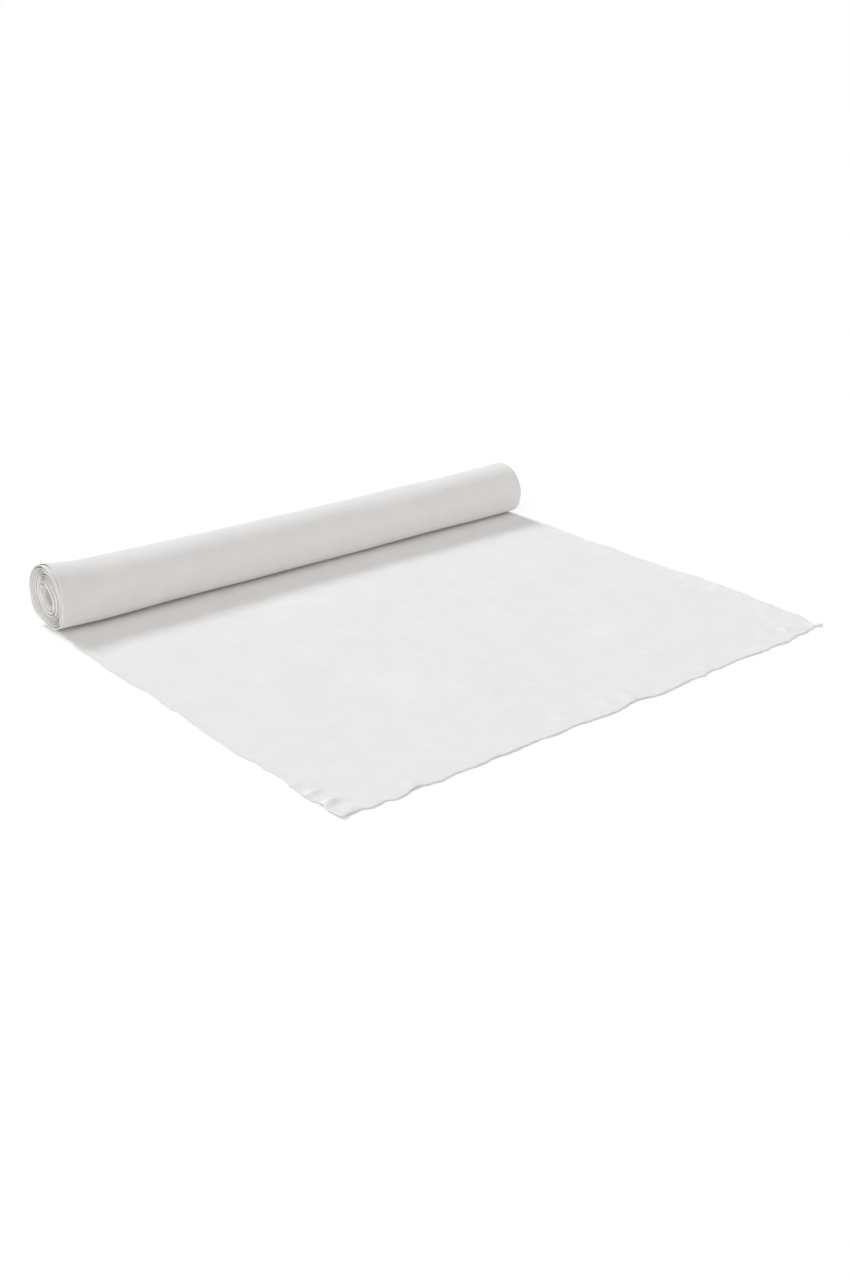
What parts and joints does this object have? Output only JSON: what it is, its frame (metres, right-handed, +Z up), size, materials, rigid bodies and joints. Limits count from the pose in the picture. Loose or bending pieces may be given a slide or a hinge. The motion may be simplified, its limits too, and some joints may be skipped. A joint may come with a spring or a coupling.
{
  "type": "table runner",
  "caption": "Plain white woven table runner with overlocked, slightly wavy edges, partly rolled up: the roll lies across one end and the rest is laid flat.",
  "frame": {"origin": "middle of the bottom of the whole object's box, on the table", "axes": "+X along the laid length to the free end, +Y across the runner and along the roll's axis, +Z up from the table"},
  "size_m": [0.3702, 0.4564, 0.0457],
  "materials": {
    "cloth": "matte",
    "edge_thread": "matte"
  },
  "bodies": {
    "laid_length": {"laid_cloth": "cloth", "laid_edge_near": "edge_thread", "laid_edge_far": "edge_thread", "free_end_edge": "edge_thread", "corner_thread_tail": "edge_thread"},
    "outer_turn": {"outer_turn_cloth": "cloth", "outer_turn_edge_near": "edge_thread", "outer_turn_edge_far": "edge_thread"},
    "inner_turns": {"inner_turns_cloth": "cloth", "inner_turns_edge_near": "edge_thread", "inner_turns_edge_far": "edge_thread", "inner_end_edge": "edge_thread"}
  },
  "joints": [
    {"name": "roll_travel", "type": "slide", "parent": "laid_length", "child": "outer_turn", "axis": [1, 0, 0], "range_m": [0, 0.27518], "deforming": ["laid_cloth", "laid_edge_near", "laid_edge_far"]},
    {"name": "roll_turn", "type": "hinge", "parent": "outer_turn", "child": "inner_turns", "pos_m": [-0.16278, -0.00322, 0.0234], "axis": [0, 1, 0], "range_deg": [0, 720]}
  ],
  "couplings": [
    {"joint": "roll_turn", "follows": "roll_travel", "rad_per_m": 45.665}
  ]
}
